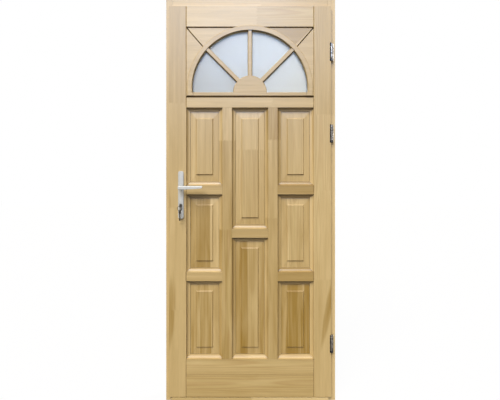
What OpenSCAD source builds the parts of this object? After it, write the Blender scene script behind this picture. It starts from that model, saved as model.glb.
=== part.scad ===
// Pine entrance door with an arched fanlight, hung in its rebated wooden frame.
// Millimetres. X runs to the viewer's right, Y into the doorway, Z up.
// The origin lies under the threshold, in the middle of the leaf's width and of the frame's depth.

/* [Leaf] */
// Width of the leaf over its lips
leaf_w = 844; // [824:2:900]
// Height of the leaf over its lip
leaf_h = 2032; // [1990:2:2120]
// Thickness of the leaf, lip included
leaf_t = 56; // [54:1:62]
// How far the lip stands out past the body of the leaf
lip_w = 18; // [16:1:20]
// Thickness of the lip
lip_t = 18; // [16:1:20]
// Gap between the lip and the face of the frame
lip_gap = 2; // [1:0.5:3]
// Gap between the body of the leaf and the rebate of the frame
edge_gap = 4; // [3:0.5:5]

/* [Leaf framing] */
// Face width of the two stiles
stile_w = 90; // [88:1:100]
// Height of the top rail
top_rail_h = 110; // [100:1:130]
// Height of the rail under the fanlight
mid_rail_h = 57; // [50:1:70]
// Height of the bottom rail, both boards
bottom_rail_h = 197; // [180:1:220]
// Height of the lower board of the bottom rail
bottom_board_h = 119; // [90:1:130]
// Width of the two mullions between the panels
mullion_w = 50; // [44:1:56]
// Height of the cross rails between the panels
cross_h = 47; // [40:1:54]
// Width of the cove worked round each panel opening
stick_w = 18.5; // [14:0.5:20]
// Depth of that cove
stick_d = 17; // [13:0.5:18]
// Depth of the square quirk at the top of that cove
quirk_d = 3.5; // [2:0.5:5]
// Number of flats that make up the cove
cove_flats = 4; // [3:1:6]
// Room left behind the tongue of a panel, from the edge of the opening
panel_room = 3; // [2:0.5:4]
// Width of the vee groove where a rail meets a stile
vee_w = 5; // [3:0.5:7]
// Width of the vee groove above the fanlight
fan_vee_w = 8; // [5:0.5:9]
// Depth of that groove
fan_vee_d = 9; // [4:0.5:10]
// Width of the vee groove below the fanlight
base_vee_w = 11; // [8:0.5:12]
// Depth of that groove
base_vee_d = 12; // [8:0.5:13]
// Thickness of the tongues that join the pieces
tongue_t = 12; // [10:0.5:14]
// Length of the tongues
tongue_l = 10; // [8:0.5:11]
// Room left at the end of each tongue
tongue_gap = 1; // [0.5:0.1:1.5]
// Room left on each side of a panel tongue
panel_gap = 0.2; // [0.1:0.05:0.4]

/* [Raised panels] */
// Distance from the opening to the raised field, at the sides
field_side = 53; // [46:1:58]
// Distance from the opening to the raised field, at the ends
field_end = 58; // [50:1:66]
// Thickness of a panel across its raised field
field_t = 32; // [30:0.5:34]
// Thickness of a panel at the foot of the field's shoulder
shoulder_t = 22; // [20:0.5:24]
// Width of the shoulder round the field
shoulder_w = 4; // [2:0.5:6]
// Thickness of a panel where it leaves the groove
edge_t = 17; // [15:0.5:19]

/* [Fanlight] */
// Width of the board beside the arched glass
arch_side = 32; // [31:1:50]
// Height of the board over the arched glass
arch_over = 17; // [12:1:30]
// Height of the arch centre over the bottom of the fanlight
arch_rise = 43; // [40:1:44]
// Height of the strip under the glass
base_h = 24; // [22:1:30]
// Width of the raised ring round the arch
ring_w = 28; // [20:1:28]
// How far the ring stands proud of the leaf
ring_h = 3; // [2:0.5:5]
// Width of the bevel on the glass side of the boards
bar_bevel_w = 4; // [3:0.5:5]
// Depth of that bevel
bar_bevel_d = 8; // [6:0.5:10]
// Width of the flat on each ray of the sunburst
ray_w = 16; // [12:0.5:20]
// How far the rays lie behind the face of the board
ray_set = 0.5; // [0.3:0.1:1]
// Angle between neighbouring rays
ray_angle = 45; // [40:1:48]
// Radius of the half disc the rays spring from
hub_r = 84; // [70:1:95]
// Thickness of the cut board on each side of the glass
board_t = 16; // [14:0.5:18]
// Width of the vee groove on the diagonals
diagonal_w = 6; // [4:0.5:8]
// Depth of that groove
diagonal_d = 7; // [3:0.5:9]
// Lean of the diagonals from the vertical
diagonal_angle = 41; // [39:0.5:45]
// Thickness of each glass pane
pane_t = 4; // [3:0.5:5]
// Depth of the glass edge behind the boards
pane_hold = 11; // [9:0.5:12]
// Room between the glass edge and the core board
pane_gap = 1; // [0.5:0.1:1.5]

/* [Frame] */
// Depth of the frame through the wall
frame_depth = 100; // [92:1:120]
// Width of the frame that shows beside the leaf on the lock side
lock_reveal = 18; // [16:1:26]
// Width of the frame that shows beside the leaf on the hinge side
hinge_reveal = 25; // [20:1:30]
// Height of the frame that shows above the leaf
head_reveal = 44; // [30:1:56]
// Height of the leaf over the floor
leaf_z = 28; // [22:1:36]
// Height of the stop against which the leaf closes
stop_w = 16; // [14:1:22]
// Distance by which the threshold stands out in front of the frame
sill_nose = 22; // [0:1:26]
// Height of the stop on the threshold
sill_stop_h = 18; // [16:1:24]
// Gap between the leaf and the stop, taken up by the seal
seal_gap = 6; // [5:0.5:8]
// Width of the seal
seal_w = 6; // [5:0.5:7]
// Gap between the seal and the closed leaf
seal_clear = 0.4; // [0.3:0.1:1]
// Diameter of the anchor holes in the jambs
anchor_d = 10; // [8:0.5:12]
// Height between the outer pair of anchor holes
anchor_outer = 1640; // [1500:10:1700]
// Height between the inner pair of anchor holes
anchor_inner = 600; // [400:10:700]
// Distance of the anchor holes behind the middle of the frame
anchor_y = 20; // [14:1:26]

/* [Hinges] */
// Diameter of the hinge barrels
barrel_d = 17; // [14:0.5:17]
// Distance of the hinge axis past the edge of the leaf
hinge_out = 4; // [3:0.5:5]
// Room between the barrel and the notch in the leaf
notch_gap = 2; // [1.5:0.1:2.2]
// Bevel on the ends of the knuckles
knuckle_bevel = 1.2; // [0.6:0.1:1.5]
// Length of the knuckle on the leaf
leaf_knuckle_l = 33; // [26:1:36]
// Length of the knuckle on the frame
frame_knuckle_l = 49; // [40:1:52]
// Length of the end cap under the barrel
cap_l = 11; // [8:1:18]
// Gap between the knuckles
knuckle_gap = 0.4; // [0.3:0.1:1]
// Diameter of the hinge pin and of the screwed shanks
pin_d = 8; // [6:0.5:9]
// Radial room of the pin in the leaf's knuckle
pin_fit = 0.05; // [0.02:0.01:0.08]
// Length of the shank in the leaf
leaf_shank_l = 56; // [44:1:60]
// Length of the shank in the frame
frame_shank_l = 50; // [40:1:54]
// Distance of the top hinge under the top of the leaf
hinge_top_drop = 224; // [150:1:300]
// Distance of the middle hinge under the top of the leaf
hinge_mid_drop = 648; // [500:1:900]
// Height of the bottom hinge over the bottom of the leaf
hinge_low_rise = 287; // [200:1:400]

/* [Lock] */
// Height of the lever's axis over the bottom of the leaf
lever_rise = 1088; // [1040:1:1104]
// Distance from the edge of the leaf's body to the lever's axis
backset = 45; // [44:0.5:46]
// Height between the lever and the profile cylinder
cylinder_drop = 92; // [88:1:94]
// Thickness of the lock case
case_t = 16; // [15:0.5:18]
// Wall of the lock case
case_wall = 1.5; // [1:0.1:2]
// Length of the forend plate
forend_l = 236; // [230:1:250]
// Width of the forend plate
forend_w = 20; // [18:0.5:22]
// Thickness of the forend and of the strike plate
forend_t = 3; // [2:0.5:3]
// Throw of the latch
latch_throw = 11; // [10:0.5:12]
// Height of the latch over the lever's axis
latch_rise = 22; // [21:0.5:24]
// Throw of the dead bolt
bolt_throw = 20; // [16:1:20]
// Height of the dead bolt over the cylinder
bolt_rise = 34; // [30:1:36]
// Thickness of the latch and of the dead bolt
bolt_t = 12; // [10:0.5:12.5]
// Room round the latch and the dead bolt
bolt_gap = 0.4; // [0.3:0.1:0.6]
// Length of the strike plate
strike_l = 170; // [164:1:190]
// Diameter of the screw shanks
screw_d = 4; // [3:0.5:4.5]
// Length of the strike plate's screws
strike_screw_l = 28; // [20:1:30]
// Length of the forend's screws
forend_screw_l = 26; // [20:1:30]
// Length of the arm on the turning piece in the lock
arm_l = 15.5; // [13:0.5:15.5]
// Room round things that only pass through
pass_gap = 0.5; // [0.3:0.1:0.8]
// Radial room of pressed and screwed pieces
press_fit = 0.03; // [0.01:0.01:0.05]

/* [Handle] */
// Width of the long plates
plate_w = 28; // [26:0.5:32]
// Length of the long plates
plate_l = 246; // [244:1:260]
// Height of the plate over the lever's axis
plate_up = 86; // [84:1:94]
// Height of the upper plate bolt over the lever's axis
bolt_up = 62; // [56:1:66]
// Distance of the lower plate bolt under the cylinder
bolt_down = 56; // [50:1:60]
// Thickness of the plates in the middle
plate_t = 7; // [6:0.5:9]
// Crown of the plates across their width
plate_crown = 2; // [1:0.25:3]
// Corner radius of the plates
plate_r = 9; // [6:0.5:12]
// Length of the lever from its axis to its tip
lever_l = 117; // [105:1:130]
// Height of the lever's grip
grip_h = 21; // [17:0.5:22]
// Distance of the grip's round end from the axis, towards the tip
grip_shift = 3; // [0:0.5:4]
// Height of the grip at its tip
tip_h = 13; // [11:0.5:16]
// Thickness of the lever's grip
grip_t = 13; // [12:0.5:15]
// Distance of the grip's middle from the leaf
grip_out = 48; // [44:1:54]
// Diameter of the lever's neck
neck_d = 16; // [15:0.5:18]
// Room round the neck in the plate
neck_gap = 0.4; // [0.3:0.1:0.6]
// Side of the square spindle
spindle_a = 8; // [7:0.5:8.5]

/* [Keys] */
// Diameter of the plug in the profile cylinder
plug_d = 13; // [12:0.5:13.5]
// Radial room of the plug
plug_fit = 0.06; // [0.02:0.01:0.09]
// Radius of the cam on the plug
cam_r = 13; // [11:0.5:13]
// How far the cylinder stands out of the plate
cylinder_out = 2; // [1:0.5:3]
// Thickness of the keys
key_t = 2.4; // [2:0.1:2.6]
// Height of the key blades
blade_h = 8; // [7:0.25:8.5]
// Length of the key blades
blade_l = 25; // [20:1:27]
// Radius of the key bows
bow_r = 11; // [10:0.25:12]
// Length of the key between its bow and the cylinder
key_out = 8; // [3:0.5:9]
// Radius of the hole in the bows
bow_hole_r = 3.2; // [3:0.1:3.6]
// Radius of the key ring
ring_r = 12; // [11:0.25:12.5]
// Radius of the key ring's wire
wire_r = 1; // [0.8:0.1:1.1]
// Room between the ring's wire and the hole it hangs in
hang_gap = 0.55; // [0.5:0.05:0.8]
// Turn of the spare key about the vertical
spare_turn = 40; // [0:1:42]

/* [Hidden] */
$fn = 96;
cut = 1;

// Levels through the thickness of the leaf
y_frame = -frame_depth / 2;
y_lip = y_frame - lip_gap;
y_front = y_lip - lip_t;
y_back = y_front + leaf_t;
y_mid = (y_front + y_back) / 2;
y_stop = y_back + seal_gap;
y_rear = frame_depth / 2;

// Outlines of the leaf and of the frame
half_w = leaf_w / 2;
leaf_top = leaf_z + leaf_h;
body_x = half_w - lip_w;
body_top = leaf_top - lip_w;
rebate_x = body_x + edge_gap;
rebate_top = body_top + edge_gap;
stop_x = rebate_x - stop_w;
stop_top = rebate_top - stop_w;
frame_top = leaf_top + head_reveal;
sill_h = leaf_z - edge_gap;
sill_top = sill_h + sill_stop_h;

// Zones of the leaf's face
inner_x = half_w - stile_w;
col_w = (2 * inner_x - 2 * mullion_w) / 3;
board_z = leaf_z + bottom_board_h;
zone_z = leaf_z + bottom_rail_h;
arch_r = inner_x - arch_side;
fan_top = leaf_top - top_rail_h;
fan_z = fan_top - arch_over - arch_r - arch_rise;
mid_z = fan_z - mid_rail_h;
zone_h = mid_z - zone_z;
groove_l = tongue_l + tongue_gap;
panel_tongue = stick_w - panel_room;
cove_angles = [for (i = [0 : cove_flats]) 90 * i / cove_flats];
vee = vee_w / 2;
fan_vee = fan_vee_w / 2;
base_vee = base_vee_w / 2;

// Fanlight
arch_z = fan_z + arch_rise;
base_z = fan_z + base_h;
core_y0 = y_front + board_t;
core_y1 = y_back - board_t;
pane_r = arch_r + pane_hold;
pane_z = base_z - pane_hold;
diagonal_l = 0.44 * inner_x;
ray_reach = arch_r + arch_rise - base_h + bar_bevel_w;

// Frame
seal_x = stop_x + (stop_w - edge_gap - seal_w) / 2;
seal_top = stop_top + (stop_w - edge_gap - seal_w) / 2;
seal_low = sill_top - (sill_stop_h - edge_gap - seal_w) / 2;
stem_w = seal_w / 2;
stem_l = 5;
anchor_z = frame_top / 2;

// Hinges
axis_x = half_w + hinge_out;
notch_r = barrel_d / 2 + notch_gap;
axis_y = (y_front + y_lip) / 2;
hinge_low_z = leaf_z + hinge_low_rise;
hinge_mid_z = leaf_top - hinge_mid_drop;
hinge_top_z = leaf_top - hinge_top_drop;
hinge_z = [hinge_low_z, hinge_mid_z, hinge_top_z];

// Lock
lock_x = -body_x + backset;
lever_z = leaf_z + lever_rise;
lock_y = (y_lip + y_back) / 2;
cylinder_z = lever_z - cylinder_drop;
latch_z = lever_z + latch_rise;
bolt_z = cylinder_z + bolt_rise;
latch_h = 18;
bolt_h = 22;
case_x0 = -body_x + forend_t;
case_x1 = lock_x + 14;
case_z0 = cylinder_z - 40;
case_z1 = latch_z + 18;
case_mid = (case_z0 + case_z1) / 2;
follower_r = 9;
strike_mid = (latch_z + bolt_z) / 2;
strike_w = 22;
head_r = screw_d;
head_l = 2;
plate_bolt_z = [lever_z + bolt_up, cylinder_z - bolt_down];

// Handle
plate_top = lever_z + plate_up;
plate_z = plate_top - plate_l;
crown_r = (plate_w * plate_w / 4 + plate_crown * plate_crown) / (2 * plate_crown);
grip_y = y_front - grip_out;
neck_y = y_front - 1;

// Keys
euro_r = 8.5;
euro_web = 5;
euro_drop = 19.5;
cylinder_y0 = y_front - plate_t - cylinder_out;
cylinder_y1 = y_back + plate_t + cylinder_out;
cam_w = 10;
cam_gap = 0.4;
bow_y = cylinder_y0 - bow_r - key_out;
hole_y = bow_y - bow_r + bow_hole_r + 3;
hang_z = cylinder_z - bow_hole_r + wire_r + hang_gap;
ring_z = hang_z - ring_r;
spare_hole_z = ring_z - ring_r - bow_hole_r + wire_r + hang_gap;
spare_bow_z = spare_hole_z - bow_r + bow_hole_r + 3;

function frame_x(s) = half_w + (s < 0 ? lock_reveal : hinge_reveal);
function rows(c) = (c == 1) ? 2 : 3;
function row_h(c) = (zone_h - (rows(c) - 1) * cross_h) / rows(c);
function row_z(c, r) = zone_z + r * (row_h(c) + cross_h);
function col_x(c) = -inner_x + c * (col_w + mullion_w);
function row_spans(c) = [for (r = [0 : rows(c) - 1]) [row_z(c, r), row_z(c, r) + row_h(c)]];
function col_spans() = [for (c = [0 : 2]) [col_x(c), col_x(c) + col_w]];
function rail_spans(c) = [for (r = [0 : rows(c) - 2]) [row_z(c, r) + row_h(c), row_z(c, r + 1)]];

// Extrudes an outline drawn in X and Z from one depth to another
module xz(y0, y1) {
  translate([0, y1, 0])
    rotate([90, 0, 0])
      linear_extrude(y1 - y0)
        children();
}

// Extrudes an outline drawn in Y and Z from one side to another
module yz(x0, x1) {
  translate([x0, 0, 0])
    rotate([90, 0, 90])
      linear_extrude(x1 - x0)
        children();
}

// Extrudes an outline drawn in X and Y from one height to another
module xy(z0, z1) {
  translate([0, 0, z0])
    linear_extrude(z1 - z0)
      children();
}

// A block from its lowest corner to its highest
module block(a, b) {
  translate(a)
    cube(b - a);
}

// The same again on the other face of the leaf
module flip() {
  translate([0, 2 * y_mid, 0])
    mirror([0, 1, 0])
      children();
}

module both_faces() {
  children();
  flip()
    children();
}

// A round bar along Y
module bar_y(x, z, y0, y1, r) {
  translate([x, y0, z])
    rotate([-90, 0, 0])
      cylinder(h = y1 - y0, r = r);
}

// A round bar along X
module bar_x(y, z, x0, x1, r) {
  translate([x0, y, z])
    rotate([0, 90, 0])
      cylinder(h = x1 - x0, r = r);
}

// Mitred land for the cove on an upright edge, d tells which way the edge looks
module land_x(x, d, span) {
  polygon([
    [x - d * cut, span[0]],
    [x, span[0]],
    [x + d * stick_w, span[0] + stick_w],
    [x + d * stick_w, span[1] - stick_w],
    [x, span[1]],
    [x - d * cut, span[1]]
  ]);
}

// The same on a level edge
module land_z(z, d, span) {
  polygon([
    [span[0], z - d * cut],
    [span[0], z],
    [span[0] + stick_w, z + d * stick_w],
    [span[1] - stick_w, z + d * stick_w],
    [span[1], z],
    [span[1], z - d * cut]
  ]);
}

// The cove is a quarter of an ellipse, steep under the face and flat beside the panel
function cove_w(a) = stick_w * (1 - cos(a));
function cove_d(a) = quirk_d + (stick_d - quirk_d) * sin(a);

// Cuts the cove on the land of an upright edge, on both faces
module cove_x(x, d, z0, z1) {
  both_faces()
    xy(z0, z1)
      polygon([
        each [for (a = cove_angles) [x + d * cove_w(a), y_front + cove_d(a)]],
        [x + d * (stick_w + cut), y_front + stick_d],
        [x + d * (stick_w + cut), y_front - cut],
        [x, y_front - cut]
      ]);
}

// The same on a level edge
module cove_z(z, d, x0, x1) {
  both_faces()
    yz(x0, x1)
      polygon([
        each [for (a = cove_angles) [y_front + cove_d(a), z + d * cove_w(a)]],
        [y_front + stick_d, z + d * (stick_w + cut)],
        [y_front - cut, z + d * (stick_w + cut)],
        [y_front - cut, z]
      ]);
}

// Breaks the arris of an upright edge, so that two pieces make a vee groove
module vee_x(x, d, z0, z1, c) {
  both_faces()
    xy(z0, z1)
      polygon([
        [x - d * c, y_front],
        [x, y_front + c],
        [x + d * cut, y_front + c],
        [x + d * cut, y_front - cut],
        [x - d * c, y_front - cut]
      ]);
}

// The same on a level edge, with a depth of its own
module vee_z(z, d, x0, x1, c, deep) {
  both_faces()
    yz(x0, x1)
      polygon([
        [y_front, z - d * c],
        [y_front + deep, z],
        [y_front + deep, z + d * cut],
        [y_front - cut, z + d * cut],
        [y_front - cut, z - d * c]
      ]);
}

// Groove for tongues in an upright edge
module groove_x(x, d, z0, z1, deep) {
  a = x - d * deep;
  b = x + d * (stick_w + cut);
  block([min(a, b), y_mid - tongue_t / 2, z0], [max(a, b), y_mid + tongue_t / 2, z1]);
}

// Groove for tongues in a level edge
module groove_z(z, d, x0, x1, deep) {
  a = z - d * deep;
  b = z + d * (stick_w + cut);
  block([x0, y_mid - tongue_t / 2, min(a, b)], [x1, y_mid + tongue_t / 2, max(a, b)]);
}

module tongue(x0, x1, z0, z1) {
  block([x0, y_mid - tongue_t / 2, z0], [x1, y_mid + tongue_t / 2, z1]);
}

module face(x0, x1, z0, z1) {
  translate([x0, z0])
    square([x1 - x0, z1 - z0]);
}

// Cuts the step behind the lip on both edges and the top of the leaf
module rebate() {
  block([-half_w - cut, y_lip, leaf_z - cut], [-body_x, y_back + cut, leaf_top + cut]);
  block([body_x, y_lip, leaf_z - cut], [half_w + cut, y_back + cut, leaf_top + cut]);
  block([-half_w, y_lip, body_top], [half_w, y_back + cut, leaf_top + cut]);
}

// The stile on the lock side with its coved edge, lip and groove
module stile() {
  x = -inner_x;
  difference() {
    xz(y_front, y_back) {
      face(-half_w, x, leaf_z, leaf_top);
      for (span = row_spans(0))
        land_x(x, 1, span);
    }
    rebate();
    cove_x(x, 1, zone_z, mid_z);
    groove_x(x, 1, leaf_z - cut, leaf_top + cut, groove_l);
    vee_x(x, 1, leaf_z - cut, zone_z, vee);
    vee_x(x, 1, mid_z, leaf_top + cut, vee);
    for (span = rail_spans(0))
      vee_x(x, 1, span[0], span[1], vee);
  }
}

module stile_lock() {
  color("burlywood")
    difference() {
      stile();
      block(
        [-body_x - cut, lock_y - case_t / 2 - pass_gap, case_z0 - pass_gap],
        [case_x1 + pass_gap, lock_y + case_t / 2 + pass_gap, case_z1 + pass_gap]
      );
      block(
        [-body_x - cut, lock_y - forend_w / 2, case_mid - forend_l / 2],
        [case_x0, lock_y + forend_w / 2, case_mid + forend_l / 2]
      );
      bar_y(lock_x, lever_z, y_front - cut, y_back + cut, follower_r);
      xz(y_front - cut, y_back + cut)
        euro(pass_gap);
      for (z = plate_bolt_z)
        bar_y(lock_x, z, y_front - cut, y_back + cut, screw_d / 2 + pass_gap);
      forend_screws_at(press_fit);
    }
}

// Notch in the edge of the leaf, open to the front, that clears a barrel
module hinge_notch(z0, z1) {
  translate([axis_x, axis_y, z0])
    cylinder(h = z1 - z0, r = notch_r);
  block([axis_x - notch_r, y_front - cut, z0], [half_w + cut, axis_y, z1]);
}

module stile_hinge() {
  color("burlywood")
    difference() {
      mirror([1, 0, 0])
        stile();
      for (z = hinge_z)
        hinge_notch(z - frame_knuckle_l - cap_l - notch_gap, z + leaf_knuckle_l + notch_gap);
      for (z = hinge_z)
        bar_x(
          axis_y, z + leaf_knuckle_l / 2, axis_x - leaf_shank_l - press_fit, axis_x,
          pin_d / 2 + press_fit
        );
    }
}

module top_rail() {
  color("burlywood")
    difference() {
      union() {
        xz(y_front, y_back)
          face(-inner_x, inner_x, fan_top, leaf_top);
        tongue(-inner_x - tongue_l, inner_x + tongue_l, fan_top + groove_l, body_top);
      }
      rebate();
      groove_z(fan_top, -1, -inner_x - cut, inner_x + cut, groove_l);
      vee_x(-inner_x, -1, fan_top - cut, leaf_top + cut, vee);
      vee_x(inner_x, 1, fan_top - cut, leaf_top + cut, vee);
      vee_z(fan_top, -1, -inner_x - cut, inner_x + cut, fan_vee, fan_vee_d);
    }
}

module mid_rail() {
  color("burlywood")
    difference() {
      union() {
        xz(y_front, y_back) {
          face(-inner_x, inner_x, mid_z, fan_z);
          for (span = col_spans())
            land_z(mid_z, -1, span);
        }
        tongue(-inner_x - tongue_l, inner_x + tongue_l, mid_z + groove_l, fan_z - groove_l);
      }
      cove_z(mid_z, -1, -inner_x, inner_x);
      groove_z(mid_z, -1, -inner_x - cut, inner_x + cut, groove_l);
      groove_z(fan_z, 1, -inner_x - cut, inner_x + cut, groove_l);
      vee_x(-inner_x, -1, mid_z, fan_z + cut, vee);
      vee_x(inner_x, 1, mid_z, fan_z + cut, vee);
      vee_z(fan_z, 1, -inner_x - cut, inner_x + cut, base_vee, base_vee_d);
    }
}

module bottom_rail_upper() {
  color("burlywood")
    difference() {
      union() {
        xz(y_front, y_back) {
          face(-inner_x, inner_x, board_z, zone_z);
          for (span = col_spans())
            land_z(zone_z, 1, span);
        }
        tongue(-inner_x - tongue_l, inner_x + tongue_l, board_z, zone_z - groove_l);
      }
      cove_z(zone_z, 1, -inner_x, inner_x);
      groove_z(zone_z, 1, -inner_x - cut, inner_x + cut, groove_l);
      vee_x(-inner_x, -1, board_z - cut, zone_z, vee);
      vee_x(inner_x, 1, board_z - cut, zone_z, vee);
    }
}

module bottom_rail_lower() {
  color("tan")
    difference() {
      union() {
        xz(y_front, y_back)
          face(-inner_x, inner_x, leaf_z, board_z);
        tongue(-inner_x - tongue_l, inner_x + tongue_l, leaf_z, board_z);
      }
      vee_x(-inner_x, -1, leaf_z - cut, board_z + cut, vee);
      vee_x(inner_x, 1, leaf_z - cut, board_z + cut, vee);
    }
}

// A mullion on the left of column c
module mullion(c) {
  x1 = col_x(c);
  x0 = x1 - mullion_w;
  color("burlywood")
    difference() {
      union() {
        xz(y_front, y_back) {
          face(x0, x1, zone_z, mid_z);
          for (span = row_spans(c - 1))
            land_x(x0, -1, span);
          for (span = row_spans(c))
            land_x(x1, 1, span);
        }
        tongue(x0 + groove_l, x1 - groove_l, zone_z - tongue_l, mid_z + tongue_l);
      }
      cove_x(x0, -1, zone_z, mid_z);
      cove_x(x1, 1, zone_z, mid_z);
      groove_x(x0, -1, zone_z - cut, mid_z + cut, groove_l);
      groove_x(x1, 1, zone_z - cut, mid_z + cut, groove_l);
    }
}

module mullion_left() {
  mullion(1);
}

module mullion_right() {
  mullion(2);
}

// The cross rail over row r of column c
module cross_rail(c, r) {
  span = [col_x(c), col_x(c) + col_w];
  z = rail_spans(c)[r];
  color("burlywood")
    difference() {
      union() {
        xz(y_front, y_back) {
          face(span[0], span[1], z[0], z[1]);
          land_z(z[0], -1, span);
          land_z(z[1], 1, span);
        }
        tongue(span[0] - tongue_l, span[1] + tongue_l, z[0], z[1]);
      }
      cove_z(z[0], -1, span[0], span[1]);
      cove_z(z[1], 1, span[0], span[1]);
      groove_z(z[0], -1, span[0], span[1], tongue_gap - panel_room);
      groove_z(z[1], 1, span[0], span[1], tongue_gap - panel_room);
      if (c == 0)
        vee_x(span[0], -1, z[0], z[1], vee);
      if (c == 2)
        vee_x(span[1], 1, z[0], z[1], vee);
    }
}

module cross_left_low() {
  cross_rail(0, 0);
}

module cross_left_high() {
  cross_rail(0, 1);
}

module cross_centre() {
  cross_rail(1, 0);
}

module cross_right_low() {
  cross_rail(2, 0);
}

module cross_right_high() {
  cross_rail(2, 1);
}

// Section of a raised panel: half is half the clear opening between the coves, f half the field
function panel_half(half, f) = [
  [half + panel_tongue, tongue_t / 2 - panel_gap],
  [half - panel_gap, tongue_t / 2 - panel_gap],
  [half - panel_gap, edge_t / 2],
  [f + shoulder_w, shoulder_t / 2],
  [f, field_t / 2]
];
function mirrored(p, sx, sy) = [for (q = p) [sx * q[0], sy * q[1]]];
function reversed(p) = [for (i = [len(p) - 1 : -1 : 0]) p[i]];
function panel_section(p) = concat(
  p,
  reversed(mirrored(p, -1, 1)),
  mirrored(p, -1, -1),
  reversed(mirrored(p, 1, -1))
);

// The raised panel in row r of column c: the two sections cross, so the corners mitre themselves
module panel(c, r) {
  a = col_w / 2 - stick_w;
  b = row_h(c) / 2 - stick_w;
  across = panel_section(panel_half(a, col_w / 2 - field_side));
  upright = panel_section(panel_half(b, row_h(c) / 2 - field_end));
  color("wheat")
    translate([col_x(c) + col_w / 2, y_mid, row_z(c, r) + row_h(c) / 2])
      intersection() {
        xy(-b - panel_tongue, b + panel_tongue)
          polygon(across);
        yz(-a - panel_tongue, a + panel_tongue)
          polygon([for (q = upright) [q[1], q[0]]]);
      }
}

module panel_left_low() {
  panel(0, 0);
}

module panel_left_mid() {
  panel(0, 1);
}

module panel_left_top() {
  panel(0, 2);
}

module panel_centre_low() {
  panel(1, 0);
}

module panel_centre_top() {
  panel(1, 1);
}

module panel_right_low() {
  panel(2, 0);
}

module panel_right_mid() {
  panel(2, 1);
}

module panel_right_top() {
  panel(2, 2);
}

// A half disc between two depths, kept over the given height
module half_disc(r, y0, y1, z0) {
  intersection() {
    bar_y(0, arch_z, y0, y1, r);
    block([-r - cut, y0, z0], [r + cut, y1, arch_z + r + cut]);
  }
}

// The arched hole with its bevel, wider towards the face
module arch_hole() {
  y0 = y_front - ring_h;
  intersection() {
    union() {
      bar_y(0, arch_z, y0 - cut, core_y0 + cut, arch_r);
      translate([0, y0, arch_z])
        rotate([-90, 0, 0])
          cylinder(h = bar_bevel_d, r1 = arch_r + bar_bevel_w, r2 = arch_r);
    }
    yz(-arch_r - ring_w, arch_r + ring_w)
      polygon([
        [y0 - 2 * cut, base_z - bar_bevel_w],
        [y_front, base_z - bar_bevel_w],
        [y_front + bar_bevel_d, base_z],
        [core_y0 + 2 * cut, base_z],
        [core_y0 + 2 * cut, fan_top + ring_w],
        [y0 - 2 * cut, fan_top + ring_w]
      ]);
  }
}

// One ray of the sunburst, from inside the hub into the ring
module ray(angle) {
  w = ray_w / 2;
  foot = w + bar_bevel_w;
  y = y_front + ray_set;
  translate([0, 0, base_z])
    rotate([0, angle, 0])
      xy(hub_r / 2, ray_reach)
        polygon([
          [-w, y],
          [w, y],
          [foot, y + bar_bevel_d],
          [foot, core_y0],
          [-foot, core_y0],
          [-foot, y + bar_bevel_d]
        ]);
}

// The half disc the rays spring from
module hub() {
  intersection() {
    union() {
      translate([0, y_front, base_z])
        rotate([-90, 0, 0])
          cylinder(h = bar_bevel_d, r1 = hub_r, r2 = hub_r + bar_bevel_w);
      bar_y(0, base_z, y_front + bar_bevel_d, core_y0, hub_r + bar_bevel_w);
    }
    block(
      [-2 * hub_r, y_front, base_z - base_h / 2],
      [2 * hub_r, core_y0, base_z + 2 * hub_r]
    );
  }
}

// Vee groove on a diagonal of the board, from its corner to the ring
module diagonal(s) {
  w = diagonal_w / 2;
  translate([s * inner_x, 0, fan_top])
    rotate([0, -s * (180 - diagonal_angle), 0])
      xy(-cut, diagonal_l)
        polygon([
          [-w, y_front],
          [0, y_front + diagonal_d],
          [w, y_front],
          [w, y_front - cut],
          [-w, y_front - cut]
        ]);
}

// The cut board with its ring, rays and hub, in front of the glass
module fan_grille() {
  difference() {
    union() {
      difference() {
        xz(y_front, core_y0)
          face(-inner_x, inner_x, fan_z, fan_top);
        vee_x(-inner_x, -1, fan_z - cut, fan_top + cut, vee);
        vee_x(inner_x, 1, fan_z - cut, fan_top + cut, vee);
        vee_z(fan_z, -1, -inner_x - cut, inner_x + cut, base_vee, base_vee_d);
        vee_z(fan_top, 1, -inner_x - cut, inner_x + cut, fan_vee, fan_vee_d);
        diagonal(-1);
        diagonal(1);
      }
      intersection() {
        translate([0, y_front, arch_z])
          rotate([90, 0, 0])
            cylinder(h = ring_h, r1 = arch_r + ring_w, r2 = arch_r + ring_w - ring_h);
        block(
          [-inner_x, y_front - ring_h, fan_z + base_vee],
          [inner_x, y_front, leaf_top]
        );
      }
    }
    arch_hole();
    block(
      [-arch_r + bar_bevel_w, y_front - ring_h - cut, fan_z],
      [arch_r - bar_bevel_w, y_front, base_z]
    );
  }
  ray(-ray_angle);
  ray(0);
  ray(ray_angle);
  hub();
}

module fan_grille_front() {
  color("wheat")
    fan_grille();
}

module fan_grille_back() {
  color("wheat")
    flip()
      fan_grille();
}

module fan_core() {
  color("burlywood")
    difference() {
      union() {
        xz(core_y0, core_y1)
          face(-inner_x, inner_x, fan_z, fan_top);
        tongue(-inner_x - tongue_l, inner_x + tongue_l, fan_z - tongue_l, fan_top + tongue_l);
      }
      half_disc(pane_r + pane_gap, core_y0 - cut, core_y1 + cut, pane_z - pane_gap);
    }
}

module glass_outer() {
  color("lightblue", 0.6)
    half_disc(pane_r, core_y0, core_y0 + pane_t, pane_z);
}

module glass_inner() {
  color("lightblue", 0.6)
    half_disc(pane_r, core_y1 - pane_t, core_y1, pane_z);
}

module glass_spacer() {
  rim = pane_hold - 3;
  color("silver")
    difference() {
      half_disc(pane_r - 1, core_y0 + pane_t, core_y1 - pane_t, pane_z + 1);
      half_disc(pane_r - 1 - rim, core_y0, core_y1, pane_z + 1 + rim);
    }
}

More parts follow.
